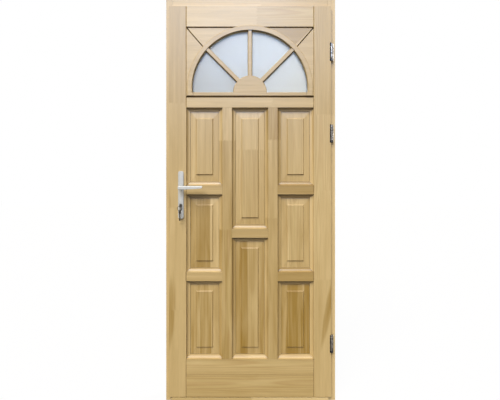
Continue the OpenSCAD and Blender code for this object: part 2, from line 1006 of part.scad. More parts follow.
// A jamb with its stop; s is -1 for the lock side and 1 for the hinge side
module jamb(s) {
  difference() {
    xy(0, frame_top)
      polygon([
        [s * rebate_x, y_frame],
        [s * frame_x(s), y_frame],
        [s * frame_x(s), y_rear],
        [s * stop_x, y_rear],
        [s * stop_x, y_stop],
        [s * rebate_x, y_stop]
      ]);
    for (dz = [-anchor_outer / 2, -anchor_inner / 2, anchor_inner / 2, anchor_outer / 2])
      bar_x(
        anchor_y, anchor_z + dz, min(s * stop_x, s * frame_x(s)) - cut,
        max(s * stop_x, s * frame_x(s)) + cut, anchor_d / 2
      );
    seal_stem_side(s);
  }
}

module jamb_lock_side() {
  x = -rebate_x;
  color("peru")
    difference() {
      jamb(-1);
      block(
        [x - forend_t, lock_y - strike_w / 2, strike_mid - strike_l / 2],
        [x + cut, lock_y + strike_w / 2, strike_mid + strike_l / 2]
      );
      latch_window(x - latch_throw - 2, x);
      bolt_window(x - bolt_throw, x);
      strike_screws_at(press_fit);
    }
}

module jamb_hinge_side() {
  color("peru")
    difference() {
      jamb(1);
      for (z = hinge_z)
        bar_y(
          axis_x, z - frame_knuckle_l / 2, y_frame - cut, axis_y + frame_shank_l + press_fit,
          pin_d / 2 + press_fit
        );
    }
}

module frame_head() {
  color("peru")
    difference() {
      union() {
        block([-rebate_x, y_frame, rebate_top], [rebate_x, y_stop, frame_top]);
        block([-stop_x, y_stop, stop_top], [stop_x, y_rear, frame_top]);
      }
      seal_stem_level(seal_top);
    }
}

module threshold() {
  color("peru")
    difference() {
      union() {
        block([-rebate_x, y_frame - sill_nose, 0], [rebate_x, y_stop, sill_h]);
        block([-stop_x, y_stop, 0], [stop_x, y_rear, sill_top]);
      }
      seal_stem_level(seal_low - seal_w);
    }
}

module seal_stem_side(s) {
  a = s * (seal_x + stem_w / 2);
  b = s * (seal_x + stem_w * 1.5);
  block([min(a, b), y_stop - cut, seal_low - seal_w], [max(a, b), y_stop + stem_l, seal_top + seal_w]);
}

module seal_stem_level(z) {
  block(
    [-stop_x - cut, y_stop - cut, z + stem_w / 2],
    [stop_x + cut, y_stop + stem_l, z + stem_w * 1.5]
  );
}

// A seal strip with its stem, drawn across its section as u and Y
module seal_section() {
  translate([0, y_back + seal_clear])
    square([seal_w, seal_gap - seal_clear]);
  translate([stem_w / 2, y_stop - cut])
    square([stem_w, stem_l + cut]);
}

module frame_seal() {
  color("dimgray") {
    for (s = [0, 1])
      mirror([s, 0, 0])
        translate([seal_x, 0, 0])
          xy(seal_low - seal_w, seal_top + seal_w)
            seal_section();
    for (z = [seal_low - seal_w, seal_top]) {
      block([-seal_x, y_back + seal_clear, z], [seal_x, y_stop, z + seal_w]);
      block([-stop_x, y_stop - cut, z + stem_w / 2], [stop_x, y_stop + stem_l, z + stem_w * 1.5]);
    }
  }
}

// Opening for the latch in the strike plate and the jamb
module latch_window(x0, x1) {
  h = latch_h / 2 + 2;
  w = bolt_t / 2 + 2;
  block([x0, lock_y - w, latch_z - h], [x1 + cut, lock_y + w, latch_z + h]);
}

// Opening for the dead bolt
module bolt_window(x0, x1) {
  h = bolt_h / 2 + 1;
  w = bolt_t / 2 + 1;
  block([x0, lock_y - w, bolt_z - h], [x1 + cut, lock_y + w, bolt_z + h]);
}

// A countersunk screw along X, its head flush at x and its point to the side d
module screw_x(x, z, d, l, gap) {
  translate([x, lock_y, z])
    rotate([0, d * 90, 0]) {
      cylinder(h = head_l, r1 = head_r + gap, r2 = screw_d / 2 + gap);
      translate([0, 0, head_l / 2])
        cylinder(h = l - head_l / 2 + gap, r = screw_d / 2 + gap);
    }
}

module strike_screws_at(gap) {
  for (dz = [-1, 1])
    screw_x(-rebate_x, strike_mid + dz * (strike_l / 2 - 12), -1, strike_screw_l, gap);
}

module forend_screws_at(gap) {
  for (dz = [-1, 1])
    screw_x(-body_x, case_mid + dz * (forend_l / 2 - 9), 1, forend_screw_l, gap);
}

module strike_plate() {
  x = -rebate_x;
  color("silver")
    difference() {
      block(
        [x - forend_t, lock_y - strike_w / 2, strike_mid - strike_l / 2],
        [x, lock_y + strike_w / 2, strike_mid + strike_l / 2]
      );
      latch_window(x - forend_t - cut, x);
      bolt_window(x - forend_t - cut, x);
      strike_screws_at(press_fit);
    }
}

module strike_screws() {
  color("gray")
    strike_screws_at(0);
}

module forend_screws() {
  color("gray")
    forend_screws_at(0);
}

// A turned knuckle of length l, with both ends bevelled
module knuckle(z, l) {
  b = knuckle_bevel;
  translate([axis_x, axis_y, z]) {
    cylinder(h = b, d1 = barrel_d - 2 * b, d2 = barrel_d);
    translate([0, 0, b])
      cylinder(h = l - 2 * b, d = barrel_d);
    translate([0, 0, l - b])
      cylinder(h = b, d1 = barrel_d, d2 = barrel_d - 2 * b);
  }
}

// The barrel on the frame with its shank into the jamb
module hinge_frame(z) {
  color("gainsboro")
    difference() {
      union() {
        knuckle(z - frame_knuckle_l, frame_knuckle_l);
        bar_y(axis_x, z - frame_knuckle_l / 2, axis_y, axis_y + frame_shank_l, pin_d / 2);
      }
      translate([axis_x, axis_y, z - frame_knuckle_l - cut])
        cylinder(h = frame_knuckle_l + 2 * cut, r = pin_d / 2 + press_fit);
    }
}

module hinge_frame_low() {
  hinge_frame(hinge_low_z);
}

module hinge_frame_mid() {
  hinge_frame(hinge_mid_z);
}

module hinge_frame_top() {
  hinge_frame(hinge_top_z);
}

// The barrel on the leaf with its shank into the stile
module hinge_leaf(z) {
  color("gainsboro")
    difference() {
      union() {
        knuckle(z + knuckle_gap, leaf_knuckle_l - knuckle_gap);
        bar_x(axis_y, z + leaf_knuckle_l / 2, axis_x - leaf_shank_l, axis_x, pin_d / 2);
      }
      translate([axis_x, axis_y, z - cut])
        cylinder(h = leaf_knuckle_l - 3 + cut, r = pin_d / 2 + pin_fit);
    }
}

module hinge_leaf_low() {
  hinge_leaf(hinge_low_z);
}

module hinge_leaf_mid() {
  hinge_leaf(hinge_mid_z);
}

module hinge_leaf_top() {
  hinge_leaf(hinge_top_z);
}

module hinge_pins() {
  color("silver")
    for (z = hinge_z)
      translate([axis_x, axis_y, z - frame_knuckle_l])
        cylinder(h = frame_knuckle_l + leaf_knuckle_l - 5, d = pin_d);
}

module hinge_caps() {
  color("black")
    for (z = hinge_z)
      translate([axis_x, axis_y, z - frame_knuckle_l - cap_l]) {
        translate([0, 0, 2])
          cylinder(h = cap_l - 2, d = barrel_d);
        cylinder(h = 2, d1 = barrel_d - 4, d2 = barrel_d);
      }
}

// Outline of a profile cylinder round the lock's axis
module euro(gap) {
  translate([lock_x, cylinder_z]) {
    circle(r = euro_r + gap);
    translate([-euro_web - gap, -euro_drop])
      square([2 * (euro_web + gap), euro_drop]);
    translate([0, -euro_drop])
      circle(r = euro_web + gap);
  }
}

module lock_case() {
  w = case_wall;
  color("darkgray")
    difference() {
      block([case_x0, lock_y - case_t / 2, case_z0], [case_x1, lock_y + case_t / 2, case_z1]);
      block(
        [case_x0 - cut, lock_y - case_t / 2 + w, case_z0 + w],
        [case_x1 - w, lock_y + case_t / 2 - w, case_z1 - w]
      );
      bar_y(lock_x, lever_z, y_front, y_back, follower_r - 1);
      xz(y_front, y_back)
        euro(pass_gap);
      for (z = plate_bolt_z)
        bar_y(lock_x, z, y_front, y_back, screw_d / 2 + pass_gap);
    }
}

module lock_forend() {
  color("silver")
    difference() {
      block(
        [-body_x, lock_y - forend_w / 2, case_mid - forend_l / 2],
        [case_x0, lock_y + forend_w / 2, case_mid + forend_l / 2]
      );
      block(
        [-body_x - cut, lock_y - bolt_t / 2 - bolt_gap, latch_z - latch_h / 2 - bolt_gap],
        [case_x0 + cut, lock_y + bolt_t / 2 + bolt_gap, latch_z + latch_h / 2 + bolt_gap]
      );
      block(
        [-body_x - cut, lock_y - bolt_t / 2 - bolt_gap, bolt_z - bolt_h / 2 - bolt_gap],
        [case_x0 + cut, lock_y + bolt_t / 2 + bolt_gap, bolt_z + bolt_h / 2 + bolt_gap]
      );
      forend_screws_at(press_fit);
    }
}

// The latch, thrown, with its slope towards the stop
module latch_bolt() {
  x = -body_x - latch_throw;
  y0 = lock_y - bolt_t / 2;
  y1 = lock_y + bolt_t / 2;
  color("silver") {
    xy(latch_z - latch_h / 2, latch_z + latch_h / 2)
      polygon([
        [x, y0],
        [x, y0 + 3],
        [-body_x - 1, y1],
        [-body_x + 12, y1],
        [-body_x + 12, y0]
      ]);
    block(
      [-body_x + 11, lock_y - 3, latch_z - 3],
      [case_x1 - case_wall - latch_throw - 2, lock_y + 3, latch_z + 4]
    );
  }
}

// The dead bolt, drawn in
module dead_bolt() {
  color("silver") {
    block(
      [-body_x, lock_y - bolt_t / 2, bolt_z - bolt_h / 2],
      [-body_x + 30, lock_y + bolt_t / 2, bolt_z + bolt_h / 2]
    );
    difference() {
      block(
        [-body_x + 29, lock_y - 3, bolt_z - bolt_h / 2],
        [case_x1 - case_wall - 1, lock_y + 3, bolt_z + bolt_h / 2]
      );
      bar_y(lock_x, bolt_z - bolt_h / 2, y_front, y_back, 5);
    }
  }
}

// A crowned long plate on the front face
module plate() {
  difference() {
    union() {
      intersection() {
        xz(y_front - plate_t - cut, y_front)
          plate_outline();
        translate([lock_x, y_front - plate_t + crown_r, plate_z - cut])
          cylinder(h = plate_l + 2 * cut, r = crown_r);
      }
      bar_y(lock_x, lever_z, y_front - plate_t - 2, y_front, neck_d / 2 + 3);
    }
    bar_y(lock_x, lever_z, y_front - plate_t - 2 - cut, y_front + cut, neck_d / 2 + neck_gap);
    xz(y_front - plate_t - cut, y_front + cut)
      euro(bolt_gap);
  }
}

module plate_outline() {
  w = plate_w / 2;
  translate([lock_x - w, plate_z + plate_r])
    square([plate_w, plate_l - 2 * plate_r]);
  translate([lock_x - w + plate_r, plate_z])
    square([plate_w - 2 * plate_r, plate_l]);
  for (dx = [-w + plate_r, w - plate_r])
    for (z = [plate_z + plate_r, plate_top - plate_r])
      translate([lock_x + dx, z])
        circle(r = plate_r);
}

module plate_front() {
  color("silver")
    difference() {
      plate();
      plate_bolts_at(press_fit);
    }
}

module plate_back() {
  color("silver")
    difference() {
      flip()
        plate();
      plate_bolts_at(press_fit);
    }
}

// Two bolts from the inner plate into the outer one, which shows none
module plate_bolts_at(gap) {
  for (z = plate_bolt_z) {
    bar_y(lock_x, z, y_front - plate_t / 2 - gap, y_back + plate_t, screw_d / 2 + gap);
    bar_y(lock_x, z, y_back + plate_t - head_l, y_back + plate_t + gap, head_r + gap);
  }
}

module plate_bolts() {
  color("gray")
    plate_bolts_at(0);
}

// A lever on the front face
module lever() {
  root = lock_x + grip_shift;
  tip = lock_x + lever_l - tip_h / 2;
  top = lever_z + grip_h / 2;
  difference() {
    union() {
      bar_y(lock_x, lever_z, grip_y, neck_y, neck_d / 2);
      intersection() {
        xz(grip_y - grip_t / 2, grip_y + grip_t / 2) {
          translate([root, lever_z])
            circle(r = grip_h / 2);
          polygon([[root, top], [tip, top], [tip, top - tip_h], [root, top - grip_h]]);
          translate([tip, top - tip_h / 2])
            circle(r = tip_h / 2);
        }
        yz(lock_x - grip_h, lock_x + lever_l)
          grip_section();
      }
    }
    block(
      [lock_x - spindle_a / 2 - press_fit, neck_y - 24, lever_z - spindle_a / 2 - press_fit],
      [lock_x + spindle_a / 2 + press_fit, neck_y + cut, lever_z + spindle_a / 2 + press_fit]
    );
  }
}

// Section of the grip: rounded on all four corners
module grip_section() {
  r = grip_t / 2 - 1;
  translate([grip_y - grip_t / 2, lever_z - grip_h / 2 + r])
    square([grip_t, grip_h - 2 * r]);
  translate([grip_y - 1, lever_z - grip_h / 2])
    square([2, grip_h]);
  for (dy = [-1, 1])
    for (dz = [-grip_h / 2 + r, grip_h / 2 - r])
      translate([grip_y + dy, lever_z + dz])
        circle(r = r);
}

module lever_front() {
  color("gainsboro")
    lever();
}

module lever_back() {
  color("gainsboro")
    flip()
      lever();
}

module spindle() {
  a = spindle_a / 2;
  color("gray")
    block([lock_x - a, neck_y - 22, lever_z - a], [lock_x + a, 2 * y_mid - neck_y + 22, lever_z + a]);
}

// The turning piece in the lock, with the arm that draws the latch
module follower() {
  a = spindle_a / 2 + press_fit;
  w = case_t / 2 - case_wall - 0.5;
  color("goldenrod")
    difference() {
      union() {
        bar_y(lock_x, lever_z, lock_y - w, lock_y + w, follower_r);
        block([lock_x - 2.5, lock_y - 2, lever_z], [lock_x + 2.5, lock_y + 2, lever_z + arm_l]);
      }
      block([lock_x - a, y_front, lever_z - a], [lock_x + a, y_back, lever_z + a]);
    }
}

module cylinder_body() {
  w = cam_w / 2 + cam_gap;
  color("silver")
    difference() {
      xz(cylinder_y0, cylinder_y1)
        euro(0);
      bar_y(lock_x, cylinder_z, cylinder_y0 - cut, lock_y, plug_d / 2 + plug_fit);
      bar_y(lock_x, cylinder_z, lock_y - w, lock_y + w, cam_r + cam_gap);
      block(
        [lock_x - key_t / 2 - 0.2, cylinder_y1 - 24, cylinder_z - blade_h / 2 - 0.2],
        [lock_x + key_t / 2 + 0.2, cylinder_y1 + cut, cylinder_z + blade_h / 2 + 0.2]
      );
    }
}

// The plug with its keyway and the cam that throws the dead bolt
module cylinder_plug() {
  color("gold")
    difference() {
      union() {
        bar_y(lock_x, cylinder_z, cylinder_y0 - 0.5, lock_y, plug_d / 2);
        bar_y(lock_x, cylinder_z, lock_y - cam_w / 2, lock_y + cam_w / 2, plug_d / 2 + 1);
        block(
          [lock_x - 3.5, lock_y - cam_w / 2, cylinder_z],
          [lock_x + 3.5, lock_y + cam_w / 2, cylinder_z + cam_r - 1]
        );
      }
      block(
        [lock_x - key_t / 2 - 0.2, cylinder_y0 - 2, cylinder_z - blade_h / 2 - 0.2],
        [lock_x + key_t / 2 + 0.2, cylinder_y0 + blade_l + 2, cylinder_z + blade_h / 2 + 0.2]
      );
    }
}

// A key with its bow round the origin, blade along Y, hole on the far side of the bow
module key_shape() {
  yz(-key_t / 2, key_t / 2)
    difference() {
      union() {
        circle(r = bow_r);
        translate([0, -blade_h / 2])
          square([bow_r + key_out + blade_l, blade_h]);
      }
      translate([-bow_r + bow_hole_r + 3, 0])
        circle(r = bow_hole_r);
      for (i = [1 : 3])
        translate([bow_r + key_out + i * blade_l / 4, -blade_h / 2])
          rotate(45)
            square(2.4, center = true);
    }
}

module key() {
  color("dimgray")
    translate([lock_x, bow_y, cylinder_z])
      key_shape();
}

module key_ring() {
  color("gray")
    translate([lock_x, hole_y, ring_z])
      rotate([90, 0, 0])
        rotate_extrude()
          translate([ring_r, 0])
            circle(r = wire_r);
}

// The spare key hangs from the ring with its blade down
module spare_key() {
  color("dimgray")
    translate([lock_x, hole_y, spare_bow_z])
      rotate([0, 0, spare_turn])
        rotate([-90, 0, 0])
          key_shape();
}

jamb_lock_side();
jamb_hinge_side();
frame_head();
threshold();
frame_seal();
strike_plate();
strike_screws();
hinge_frame_low();
hinge_frame_mid();
hinge_frame_top();
hinge_pins();
hinge_caps();
hinge_leaf_low();
hinge_leaf_mid();
hinge_leaf_top();
stile_lock();
stile_hinge();
top_rail();
mid_rail();
bottom_rail_upper();
bottom_rail_lower();
mullion_left();
mullion_right();
cross_left_low();
cross_left_high();
cross_centre();
cross_right_low();
cross_right_high();
panel_left_low();
panel_left_mid();
panel_left_top();
panel_centre_low();
panel_centre_top();
panel_right_low();
panel_right_mid();
panel_right_top();
fan_grille_front();
fan_grille_back();
fan_core();
glass_outer();
glass_inner();
glass_spacer();
lock_case();
lock_forend();
forend_screws();
latch_bolt();
dead_bolt();
plate_front();
plate_back();
plate_bolts();
lever_front();
lever_back();
spindle();
follower();
cylinder_body();
cylinder_plug();
key();
key_ring();
spare_key();
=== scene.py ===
import math

import bpy
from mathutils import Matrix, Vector

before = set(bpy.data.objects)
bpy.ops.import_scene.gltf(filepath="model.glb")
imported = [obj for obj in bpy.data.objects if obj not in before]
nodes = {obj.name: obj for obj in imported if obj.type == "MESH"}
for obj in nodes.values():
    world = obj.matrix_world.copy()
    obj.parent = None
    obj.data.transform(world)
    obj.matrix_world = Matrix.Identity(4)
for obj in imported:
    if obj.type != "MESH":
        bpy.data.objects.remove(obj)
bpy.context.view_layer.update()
print("frame loaded:", len(nodes), "nodes")

mmPerM = 1000.0
noiseLow, noiseHigh = 0.3, 0.7  # nearly all values of a noise lie between these


# sRGB hex to linear colour
def linear(hexColour):
    parts = [int(hexColour[i:i + 2], 16) / 255 for i in (1, 3, 5)]
    return [c / 12.92 if c <= 0.04045 else ((c + 0.055) / 1.055) ** 2.4 for c in parts] + [1.0]


# adds one node: inputs are values, sockets or nodes to link, stops fill a colour ramp,
# and the settings are the node's own options
def addNode(tree, kind, inputs=None, stops=None, **settings):
    node = tree.nodes.new("ShaderNode" + kind)
    for name, value in settings.items():
        setattr(node, name, value)
    for key, value in (inputs or {}).items():
        source = value.outputs[0] if isinstance(value, bpy.types.Node) else value
        if isinstance(source, bpy.types.NodeSocket):
            tree.links.new(source, node.inputs[key])
        else:
            node.inputs[key].default_value = source
    if stops:
        node.color_ramp.interpolation = stops["blend"]
        elements = node.color_ramp.elements
        elements.remove(elements[1])
        elements[0].position = 0.0
        elements[0].color = [stops["levels"][0][1]] * 3 + [1]
        for place, level in stops["levels"][1:]:
            elements.new(place).color = [level] * 3 + [1]
    return node


def newMaterial(name):
    material = bpy.data.materials.new(name)
    material.use_nodes = True
    tree = material.node_tree
    tree.nodes.clear()
    return material, tree


def dress(nodeName, material):
    slots = nodes[nodeName].data.materials
    slots.clear()
    slots.append(material)


# level camera, square on, a little above the handle; lengths in metres, the sensor in mm
cameraSpot = {
    "distance": 1.95,
    "height": 1.162,
    "seenWidth": 2.6,           # width of the view at the leaf's face
    "seenMiddle": 1.052,
    "face": -0.070,
    "sensor": 36.0,
}

cameraData = bpy.data.cameras.new("camera")
cameraData.sensor_width = cameraSpot["sensor"]
cameraData.lens = cameraSpot["sensor"] * cameraSpot["distance"] / cameraSpot["seenWidth"]
cameraData.shift_y = (cameraSpot["seenMiddle"] - cameraSpot["height"]) / cameraSpot["seenWidth"]
camera = bpy.data.objects.new("camera", cameraData)
camera.location = (0, cameraSpot["face"] - cameraSpot["distance"], cameraSpot["height"])
camera.rotation_euler = (math.radians(90), 0, 0)
bpy.context.scene.collection.objects.link(camera)
bpy.context.scene.camera = camera
print("camera placed, lens", round(cameraData.lens, 1))


# pine, planed and sanded, under a thin clear coat: pale earlywood, soft darker latewood lines,
# staves glued side by side and finger jointed, each with its own tone; the coat gives a satin veil
pineLook = {
    "darkStave": "#98782A",
    "paleStave": "#DDC48F",
    "latewood": "#CBA970",      # multiplies the stave's colour on the growth lines
    "latewoodRise": [(0.0, 0.0), (0.15, 0.0), (0.82, 1.0), (1.0, 0.0)],  # slow start, sharp end of a ring
    "ringMm": 5.0,              # growth ring width
    "ringDepth": 0.27,
    "ringBend": 9.0,            # how far the rings wander from true circles
    "ringBendMm": 90.0,
    "ringStretch": 0.17,        # the same wandering, drawn out along the grain
    "pithAcrossMm": 160.0,      # where in the log a stave was sawn
    "pithDepthMm": 60.0,
    "pithAlongMm": 900.0,
    "leanDegrees": 1.4,         # the grain runs slightly out of the face
    "fibreMm": 1.2,             # real fibres are finer, drawn at the size that shows
    "fibreLengthMm": 60.0,
    "fibreDepth": (0.93, 1.05),
    "streakMm": 15.0,           # bands of warmer wood along the grain
    "streakLengthMm": 700.0,
    "streakDepth": 0.36,
    "streakTwist": 0.0,
    "bandMm": 40.0,             # broad soft clouds from one part of the log to the next
    "bandLengthMm": 360.0,
    "bandDepth": 0.44,
    "bandTwist": 0.6,
    "staveShift": 19.0,         # moves the streaks and clouds from stave to stave
    "flameRim": [(0.0, 0.0), (0.5, 0.8), (1.0, 1.0)],
    "flameWave": (1.2, 0.0, 0.8),
    "glueLineMm": 0.8,
    "glueLine": 0.86,
    "toothMm": 7.0,             # finger joint pitch
    "toothLengthMm": 10.0,
    "innerTurn": 190.0,         # stands for the ring, rays and hub, past the last angle of the mitres
    "paintedShadeColour": "#4A3018",       # painted shade in each groove and under the rails, multiplies the colour there
    "paintedShade": (0.90, 15.0),    # depth of that painted shade, and how near a wall must be in mm
    "paintedShadeOpen": (0.30, 0.75),  # openness at which the shade is full, and at which it ends
    "paintedShadeLift": 1.4,               # the painted shade gathers under overhangs, as if lit from above, not on top of them
    "shadeRays": 6,
    "roughness": 0.46,
    "roughSpread": (-0.05, 0.07),
    "relief": 0.14,             # how far the grain is felt
    "reliefMm": 0.2,
    "latewoodRelief": 0.5,
    "ior": 1.5,
    "coat": 0.3,                # clear coat, rubbed down to a satin
    "coatRoughness": 0.44,
}


def makePine(name, cut, seed):
    material, tree = newMaterial(name)
    place = addNode(tree, "TexCoord").outputs["Object"]
    placeMm = addNode(tree, "VectorMath", {0: place, "Scale": mmPerM}, operation="SCALE")
    axes = addNode(tree, "SeparateXYZ", {0: placeMm})
    across, along = ("X", "Z") if cut["grain"] == "Z" else ("Z", "X")
    # the board in mm: across the grain, through the thickness, along the grain
    board = addNode(tree, "CombineXYZ", {0: axes.outputs[across], 1: axes.outputs["Y"], 2: axes.outputs[along]})

    # finger joints: the end of a stave is a row of teeth
    teeth = addNode(tree, "Math", {0: axes.outputs[across], 1: pineLook["toothMm"] / 2}, operation="PINGPONG")
    slant = 2 * pineLook["toothLengthMm"] / pineLook["toothMm"]
    jointed = addNode(tree, "Math", {0: teeth, 1: slant, 2: axes.outputs[along]}, operation="MULTIPLY_ADD")
    if "turn" in cut:
        # mitred segments round the arch, told apart by their angle
        rise = addNode(tree, "Math", {0: axes.outputs["Z"], 1: cut["turnZ"]}, operation="SUBTRACT")
        turned = addNode(tree, "Math", {0: rise, 1: axes.outputs["X"]}, operation="ARCTAN2")
        degrees = addNode(tree, "Math", {0: turned}, operation="DEGREES")
        spoke = addNode(tree, "CombineXYZ", {0: axes.outputs["X"], 1: rise})
        reach = addNode(tree, "VectorMath", {0: spoke}, operation="LENGTH").outputs["Value"]
        outer = addNode(tree, "Math", {0: reach, 1: cut["turnR"]}, operation="GREATER_THAN")
        jointed = addNode(tree, "Mix", {0: outer, 2: pineLook["innerTurn"], 3: degrees}, data_type="FLOAT")

    # steps of tone from stave to stave, with a glue line at each edge across the grain
    steps = {}
    for key, axis in (("across", axes.outputs[across]), ("along", jointed)):
        edges = cut["turn"] if key == "along" and "turn" in cut else cut[key]
        low, high = edges[0][0] - 1, edges[-1][0] + 1
        share = addNode(tree, "MapRange", {"Value": axis, "From Min": low, "From Max": high})
        levels = [((edge - low) / (high - low), tone) for edge, tone in edges]
        steps[key] = addNode(tree, "ValToRGB", {0: share}, {"blend": "CONSTANT", "levels": levels})
        if key == "across":
            half = pineLook["glueLineMm"] / 2 / (high - low)
            lines = [(0.0, 1.0)]
            for edge, _ in levels[1:]:
                lines += [(edge - half, pineLook["glueLine"]), (min(edge + half, 1.0), 1.0)]
            glue = addNode(tree, "ValToRGB", {0: share}, {"blend": "CONSTANT", "levels": lines})
    tone = addNode(tree, "Math", {0: steps["across"], 1: steps["along"]}, operation="ADD")

    # chance numbers for each stave, which move its figure
    stave = addNode(tree, "CombineXYZ", {0: steps["across"], 1: steps["along"], 2: float(seed)})
    chance = addNode(tree, "TexWhiteNoise", {"Vector": stave}, noise_dimensions="3D").outputs["Color"]

    # each stave is sawn from its own log: rings round a pith that runs slightly out of line
    middle = (cut["across"][0][0] + cut["across"][-1][0]) / 2
    pith = addNode(tree, "VectorMath", {
        0: chance, 1: (pineLook["pithAcrossMm"], -pineLook["pithDepthMm"], pineLook["pithAlongMm"]),
        2: (middle - pineLook["pithAcrossMm"] / 2, 0.0, 0.0)}, operation="MULTIPLY_ADD")
    fromPith = addNode(tree, "VectorMath", {0: board, 1: pith}, operation="SUBTRACT")
    leaning = addNode(tree, "Mapping", {
        0: fromPith, "Rotation": (math.radians(pineLook["leanDegrees"]), 0, 0),
        "Scale": (1.0, 1.0, pineLook["ringStretch"])})
    ringScale = math.pi / 10 / pineLook["ringMm"]  # a wave at scale 1 repeats every pi / 10
    ring = addNode(tree, "TexWave", {
        "Vector": leaning, "Scale": ringScale, "Distortion": pineLook["ringBend"], "Detail": 1.0,
        "Detail Scale": 1 / (ringScale * pineLook["ringBendMm"])},
        wave_type="RINGS", rings_direction="Z", wave_profile="SAW")
    latewood = addNode(tree, "ValToRGB", {0: ring.outputs["Fac"]},
                       {"blend": "EASE", "levels": pineLook["latewoodRise"]})

    # fibres, streaks and clouds, all long along the grain
    fibreSize = (1 / pineLook["fibreMm"], 1 / pineLook["fibreMm"], 1 / pineLook["fibreLengthMm"])
    fibre = addNode(tree, "TexNoise", {
        "Vector": addNode(tree, "Mapping", {0: board, "Scale": fibreSize}), "Scale": 1.0, "Detail": 3.0})
    figure = cut.get("figure", 1.0)
    shade = tone
    for key in ("streak", "band"):
        size = (1 / pineLook[key + "Mm"], 0.0, 1 / pineLook[key + "LengthMm"])
        shift = addNode(tree, "VectorMath", {0: chance, "Scale": pineLook["staveShift"] + seed}, operation="SCALE")
        spread = addNode(tree, "Mapping", {0: board, "Location": shift, "Scale": size})
        noise = addNode(tree, "TexNoise", {
            "Vector": spread, "Scale": 1.0, "Detail": 2.0, "Distortion": pineLook[key + "Twist"]})
        centred = addNode(tree, "Math", {0: noise, 1: 0.5}, operation="SUBTRACT")
        shade = addNode(tree, "Math", {0: centred, 1: pineLook[key + "Depth"] * figure, 2: shade},
                        operation="MULTIPLY_ADD")

    # heartwood that runs out on the face in a tall flame
    for flame in cut.get("flames", []):
        oval = addNode(tree, "Mapping", {
            0: board, "Location": (flame["across"], 0, flame["along"]),
            "Rotation": (0, math.radians(flame["tilt"]), 0),
            "Scale": (flame["halfWide"], 0, flame["halfTall"])}, vector_type="TEXTURE")
        wavy = addNode(tree, "VectorMath", {0: centred, 1: pineLook["flameWave"], 2: oval}, operation="MULTIPLY_ADD")
        inside = addNode(tree, "TexGradient", {0: wavy}, gradient_type="SPHERICAL")
        rim = addNode(tree, "ValToRGB", {0: inside.outputs["Fac"]},
                      {"blend": "EASE", "levels": pineLook["flameRim"]})
        shade = addNode(tree, "Math", {0: rim, 1: -flame["depth"], 2: shade}, operation="MULTIPLY_ADD")

    held = addNode(tree, "Clamp", {0: shade})
    plain = addNode(tree, "Mix", {0: held, 6: linear(pineLook["darkStave"]), 7: linear(pineLook["paleStave"])},
                    data_type="RGBA")
    shown = cut.get("grainShown", 1.0)
    lined = addNode(tree, "Math", {0: latewood, 1: pineLook["ringDepth"] * shown}, operation="MULTIPLY")
    grown = addNode(tree, "Mix", {0: lined, 6: plain.outputs[2], 7: linear(pineLook["latewood"])},
                    data_type="RGBA", blend_type="MULTIPLY")

    # fibres and glue lines lighten and darken it
    darkFibre, paleFibre = [1 + (level - 1) * shown for level in pineLook["fibreDepth"]]
    fine = addNode(tree, "MapRange", {
        "Value": fibre, "From Min": noiseLow, "From Max": noiseHigh, "To Min": darkFibre, "To Max": paleFibre})
    light = addNode(tree, "Math", {0: fine, 1: glue}, operation="MULTIPLY")
    lit = addNode(tree, "VectorMath", {0: grown.outputs[2], "Scale": light}, operation="SCALE")

    # painted shade: an occlusion node, lifted towards up, darkens the colour in the hollows and under the rails,
    # where shade falls from above
    depth, near = cut.get("paintedShade", pineLook["paintedShade"])
    raised = addNode(tree, "VectorMath", {
        0: addNode(tree, "NewGeometry").outputs["Normal"], 1: (0.0, 0.0, pineLook["paintedShadeLift"])}, operation="ADD")
    upward = addNode(tree, "VectorMath", {0: raised}, operation="NORMALIZE")
    hollow = addNode(tree, "AmbientOcclusion", {"Distance": near / mmPerM, "Normal": upward},
                     samples=pineLook["shadeRays"])
    fullShade, noShade = pineLook["paintedShadeOpen"]
    paintedShadeAmount = addNode(tree, "MapRange", {
        "Value": hollow.outputs["AO"], "From Min": fullShade, "From Max": noShade, "To Min": depth, "To Max": 0.0})
    colour = addNode(tree, "Mix", {0: paintedShadeAmount, 6: lit, 7: linear(pineLook["paintedShadeColour"])},
                     data_type="RGBA", blend_type="MULTIPLY")

    smoother, rougher = [pineLook["roughness"] + change for change in pineLook["roughSpread"]]
    rough = addNode(tree, "MapRange", {
        "Value": fibre, "From Min": noiseLow, "From Max": noiseHigh, "To Min": smoother, "To Max": rougher})
    grain = addNode(tree, "Math", {0: latewood, 1: pineLook["latewoodRelief"], 2: fibre}, operation="MULTIPLY_ADD")
    bump = addNode(tree, "Bump", {
        "Strength": pineLook["relief"] * shown, "Distance": pineLook["reliefMm"] / mmPerM, "Height": grain})
    shader = addNode(tree, "BsdfPrincipled", {
        "Base Color": colour.outputs[2], "Roughness": rough, "Normal": bump, "IOR": pineLook["ior"],
        "Coat Weight": pineLook["coat"], "Coat Roughness": pineLook["coatRoughness"]})
    addNode(tree, "OutputMaterial", {0: shader})
    return material


# painted shade of the rails, which falls on the panels, and of the uprights, which the light reaches
railPaintedShade = (0.97, 24.0)
uprightPaintedShade = (0.30, 9.0)

